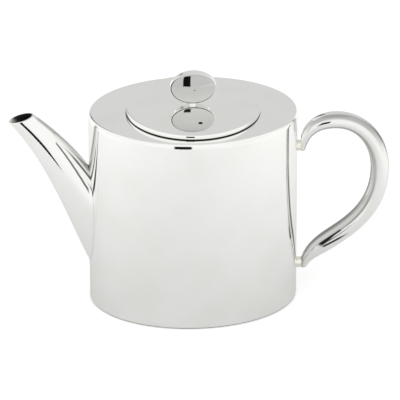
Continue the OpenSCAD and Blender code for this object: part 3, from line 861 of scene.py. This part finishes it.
def finial_rings(finial, middle):
    """Rings of the upright oval round a middle height, from front to back, and each ring's share
    of the way out. The face bulges like a ball, and its depth fades to none at the rim: share and
    fade, each to the power of squareness, add up to 1."""
    q, join = finial.squareness, 0.8
    calm, late = np.linspace(0, join, 24)[1:-1], np.linspace(join, 0, 12)[1:]
    bend = np.linspace(math.asin(join ** (q / 2)), math.acos(join ** (q / 2)), 16)
    shares = np.concatenate([calm, np.sin(bend) ** (2 / q), (1 - late ** q) ** (1 / q)])
    fades = np.concatenate([(1 - calm ** q) ** (1 / q), np.cos(bend) ** (2 / q), late])
    a = around(FINIAL_COLUMNS)
    x = shares[:, None] * finial.width / 2 * np.cos(a)
    z = shares[:, None] * finial.height / 2 * np.sin(a)
    drop = finial.face_radius - np.sqrt(finial.face_radius ** 2 - x ** 2 - z ** 2)
    y = (drop - finial.thickness / 2) * fades[:, None]
    front = np.stack([x, y, z + middle], -1)
    back = np.stack([x, -y, z + middle], -1)[-2::-1]
    return np.vstack([front, back]), np.concatenate([shares, shares[-2::-1]])


def finial_painted_shade(shares):
    """Painted shade on the finial, by the share of the way out and the direction on its face: the
    faces darkened, more at the top, and a dark outline round them, most at the lower left."""
    out, a = shares[:, None], around(FINIAL_COLUMNS)
    low_left = -0.6 * np.cos(a) - 0.8 * np.sin(a)
    face = (0.385 + 0.08 * out * np.sin(a)) * (1 - ease(out, 0.935, 0.955))
    dark_outline = band(out, 0.932, 0.974, 0.008) * (0.38 + 0.6 * ease(low_left, -0.5, 0.3))
    return np.maximum(face, dark_outline)


class TEAPOT_OT_finial(bpy.types.Operator):
    """Add the upright oval finial and its neck"""
    bl_idname = "teapot.finial"
    bl_label = "Finial"

    def execute(self, context):
        scene = context.scene
        drum, lid, finial = scene.teapot_drum, scene.teapot_lid, scene.teapot_finial
        top = drum.height + lid.rim_height + lid.dome
        middle, pole = top + finial.neck_height + finial.height / 2, finial.thickness / 2
        rings, shares = finial_rings(finial, middle)
        form = ring_surface("finial_silver", rings, ([0, -pole, middle], [0, pole, middle]),
                            sharp=70)
        # Painted shade on the faces and round their edge.
        store_shade_or_matt(form, "painted_shade", finial_painted_shade(shares))
        fit_out(form, "silver_lid", "finial")

        r, h, waist = finial.neck_radius, finial.neck_height, 0.8
        inside = top + h * 1.5      # height of its upper end, inside the finial
        profile = np.vstack([[[r, top]], arc((r, top + h / 2), h * 0.35, -90, -270, 12),
                             [[r * waist, inside]]])
        neck = turned("finial_neck_silver", profile, columns=64, capped=True)
        fit_out(neck, "silver_lid", "finial_collar")
        return {"FINISHED"}


class TEAPOT_OT_fixings(bpy.types.Operator):
    """Finish the stud, washer and nut under the lid in turned brass"""
    bl_idname = "teapot.fixings"
    bl_label = "Fixings"

    def execute(self, context):
        for name in ("finial_stud", "finial_washer", "finial_nut"):
            coat(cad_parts[name].data, "turned_brass")
        return {"FINISHED"}


# ---- stage ----

def window(tree, value, low, high, soft):
    """1 between two limits and 0 outside them, with soft edges."""
    rise = ramp(tree, value, low - soft, low + soft, smooth=True)
    fall = ramp(tree, value, high - soft, high + soft, 1.0, 0.0, smooth=True)
    return times(tree, rise, fall)


def shade(tree, level, mask, to):
    """A level drawn towards another one where a mask is 1."""
    return add(tree, "ShaderNodeMix", {0: mask, 2: level, 3: to}, data_type="FLOAT").outputs[0]


# Parts of the tent, in degrees of azimuth, from the front to the left, or of elevation: lowest
# and highest, and then how softly they end.
BRIGHT_SIDE = (-98, 142, 14)
TOP = (52, 70)
BELOW = (-20, -6)
SEAM = (148, 164, 20, 50, 3, 5)
GAP = (1.4, 15.0, -33, 7, 0.6, 2)

# The table: its corners in metres, with a step at the front where the camera's gap shows past it,
# and where the light it adds for the metal grows from near to far, a painted shadow of the pot, as
# distances from its middle.
TABLE_CORNERS = [(-1.6, -0.24, 0), (-0.115, -0.24, 0), (-0.10, -0.40, 0), (1.6, -0.40, 0),
                 (1.6, 2.2, 0), (-1.6, 2.2, 0)]
TABLE_NEAR, TABLE_FAR = 0.06, 0.33
TABLE_SHIFT, TABLE_SCALE = (0.012, 0.0, 0.0), (1.0, 0.72, 0.0)

# Where the camera aims: a height over the middle of the pot's foot, and then steps to the right
# and up in its own plane.
AIM_HEIGHT, AIM_RIGHT, AIM_UP = 60 * MM, 4.340 * MM, 5.163 * MM


def tent_of_light(studio):
    """World: a white tent, greyer behind the pot, overhead and below the table, with a dark seam
    at the back left and the dark gap that the camera looks through."""
    world = bpy.data.worlds.new("soft_tent")
    bpy.context.scene.world = world
    tree = node_tree(world)
    way = add(tree, "ShaderNodeSeparateXYZ",
              {0: add(tree, "ShaderNodeTexCoord").outputs["Generated"]})
    x, y, z = way.outputs
    left, front = (times(tree, v, -1.0) for v in (x, y))
    azimuth, elevation = (times(tree, radians, 180 / math.pi) for radians in (
        maths(tree, "ARCTAN2", left, front), maths(tree, "ARCSINE", z)))

    def patch(left, right, low, high, soft_side, soft_rise):
        """1 inside a patch of the tent."""
        return times(tree, window(tree, azimuth, left, right, soft_side),
                     window(tree, elevation, low, high, soft_rise))

    level = shade(tree, studio.back_level, window(tree, azimuth, *BRIGHT_SIDE), studio.sky_level)
    level = shade(tree, level, ramp(tree, elevation, *TOP, smooth=True), studio.top_level)
    level = times(tree, level, ramp(tree, elevation, *BELOW, studio.low_level, 1.0))
    level = shade(tree, level, patch(*SEAM), studio.seam_level)
    level = shade(tree, level, patch(*GAP), studio.gap_level)
    light = add(tree, "ShaderNodeBackground", {"Color": (1, 1, 1, 1), "Strength": level})
    plain = add(tree, "ShaderNodeBackground", {"Color": (1, 1, 1, 1), "Strength": 1.0})
    seen = add(tree, "ShaderNodeLightPath").outputs["Is Camera Ray"]
    both = add(tree, "ShaderNodeMixShader", {0: seen, 1: light.outputs[0], 2: plain.outputs[0]})
    add(tree, "ShaderNodeOutputWorld", {"Surface": both.outputs[0]})


def white_table(studio):
    """Pale table top. It reflects the light that falls on it, and adds a little light of its own to
    what is seen of it, so it looks white and keeps the pot's shadow. The light it adds for the
    metal is low close to the pot, a painted shadow of it."""
    mesh = bpy.data.meshes.new("table_top")
    mesh.from_pydata(TABLE_CORNERS, [], [tuple(range(len(TABLE_CORNERS)))])
    table = bpy.data.objects.new("table_top", mesh)
    bpy.context.scene.collection.objects.link(table)
    material = bpy.data.materials.new("white_table")
    tree = node_tree(material)
    matt = add(tree, "ShaderNodeBsdfDiffuse", {"Color": (0.8, 0.8, 0.8, 1)})
    place = add(tree, "ShaderNodeTexCoord").outputs["Object"]
    spread = add(tree, "ShaderNodeMapping",
                 {"Vector": place, "Location": TABLE_SHIFT, "Scale": TABLE_SCALE})
    away = add(tree, "ShaderNodeVectorMath", {0: spread.outputs[0]}, operation="LENGTH")
    # Painted shadow: the light the metal sees in the table is lower close to the pot.
    painted_shadow_glow = ramp(tree, away.outputs["Value"], TABLE_NEAR, TABLE_FAR, studio.near_glow,
                    studio.far_glow)
    path = add(tree, "ShaderNodeLightPath")
    in_metal = maths(tree, "MAXIMUM", path.outputs["Is Glossy Ray"],
                     path.outputs["Is Transmission Ray"])
    in_view = times(tree, path.outputs["Is Camera Ray"], studio.floor_glow)
    both_ways = maths(tree, "ADD", in_view, times(tree, in_metal, painted_shadow_glow))
    glow = add(tree, "ShaderNodeEmission", {"Color": (1, 1, 1, 1), "Strength": both_ways})
    both = add(tree, "ShaderNodeAddShader", {0: matt.outputs[0], 1: glow.outputs[0]})
    add(tree, "ShaderNodeOutputMaterial", {"Surface": both.outputs[0]})
    mesh.materials.append(material)


def camera(studio):
    """Camera on a long lens, moved sideways in its own plane to frame the pot."""
    e, a = studio.elevation, studio.azimuth
    back = Vector((math.sin(a) * math.cos(e), -math.cos(a) * math.cos(e), math.sin(e)))
    right = Vector((math.cos(a), math.sin(a), 0))
    up = back.cross(right)
    aim = Vector((0, 0, AIM_HEIGHT)) + right * AIM_RIGHT + up * AIM_UP
    data = bpy.data.cameras.new("camera")
    data.lens, data.sensor_width = studio.lens, 36.0
    data.clip_start, data.clip_end = 0.1, 20.0
    seat = bpy.data.objects.new("camera", data)
    seat.matrix_world = Matrix((right, up, back)).transposed().to_4x4()
    seat.location = aim + back * studio.distance
    bpy.context.scene.collection.objects.link(seat)
    bpy.context.scene.camera = seat


class TEAPOT_OT_stage(bpy.types.Operator):
    """Add the white table, the tent of soft light and the camera"""
    bl_idname = "teapot.stage"
    bl_label = "Stage"

    def execute(self, context):
        studio = context.scene.teapot_studio
        tent_of_light(studio)
        white_table(studio)
        camera(studio)
        context.scene.view_settings.view_transform = "Standard"
        return {"FINISHED"}


# ---- panel and registration ----

SETTINGS = {
    "teapot_drum": TeapotDrumSettings, "teapot_spout": TeapotSpoutSettings,
    "teapot_handle": TeapotHandleSettings, "teapot_lid": TeapotLidSettings,
    "teapot_finial": TeapotFinialSettings, "teapot_finish": TeapotFinishSettings,
    "teapot_studio": TeapotStudioSettings,
}
OPERATORS = (TEAPOT_OT_drum, TEAPOT_OT_spout, TEAPOT_OT_handle, TEAPOT_OT_standoffs,
             TEAPOT_OT_lid, TEAPOT_OT_finial, TEAPOT_OT_fixings, TEAPOT_OT_stage)


class TEAPOT_PT_panel(bpy.types.Panel):
    """Lists the teapot's pieces and their sizes"""
    bl_idname = "TEAPOT_PT_panel"
    bl_label = "Teapot"
    bl_space_type = "VIEW_3D"
    bl_region_type = "UI"
    bl_category = "Teapot"

    def draw(self, context):
        for operator in OPERATORS:
            self.layout.operator(operator.bl_idname)
        for name, group in SETTINGS.items():
            box = self.layout.box()
            box.label(text=group.__doc__)
            for key in group.__annotations__:
                box.prop(getattr(context.scene, name), key)


def register():
    for group in SETTINGS.values():
        bpy.utils.register_class(group)
    for name, group in SETTINGS.items():
        setattr(bpy.types.Scene, name, PointerProperty(type=group))
    for operator in OPERATORS:
        bpy.utils.register_class(operator)
    bpy.utils.register_class(TEAPOT_PT_panel)


def unregister():
    bpy.utils.unregister_class(TEAPOT_PT_panel)
    for operator in reversed(OPERATORS):
        bpy.utils.unregister_class(operator)
    for name, group in SETTINGS.items():
        delattr(bpy.types.Scene, name)
        bpy.utils.unregister_class(group)


def main():
    """Registers the add-on and makes every piece."""
    register()
    for operator in OPERATORS:
        getattr(bpy.ops.teapot, operator.bl_idname.split(".")[1])()
    bpy.context.view_layer.update()


if __name__ == "__main__":
    main()
